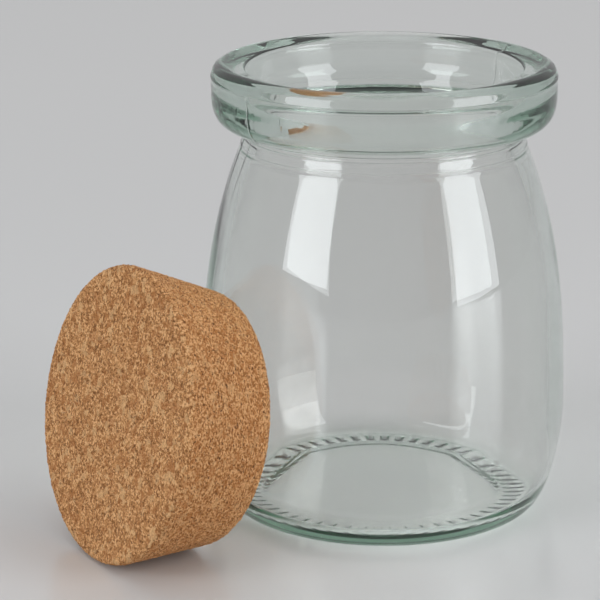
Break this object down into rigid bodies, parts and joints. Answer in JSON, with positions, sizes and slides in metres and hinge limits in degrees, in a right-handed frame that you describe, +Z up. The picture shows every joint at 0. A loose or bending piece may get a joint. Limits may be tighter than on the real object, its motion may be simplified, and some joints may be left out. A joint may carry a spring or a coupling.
{
  "type": "glass jar with cork lid",
  "caption": "Small clear glass pudding jar with a thick rolled rim, rounded body and ribbed base, standing open and empty, with its tapered cork lid lying on its flank beside it.",
  "frame": {"origin": "on the table, under the middle of the footprint of the jar and the cork lid together", "axes": "+Z up along the jar's axis; +X from the cork lid's side towards the jar; -Y towards the viewer of the picture"},
  "size_m": [0.0934, 0.0842, 0.0806],
  "materials": {
    "glass": "clear soda-lime glass with a faint green tint, smooth and glossy",
    "cork": "pressed cork granules, tan to brown with dark specks, matt and slightly rough"
  },
  "bodies": {
    "root": {"jar": "glass", "cork_lid": "cork"}
  },
  "joints": []
}
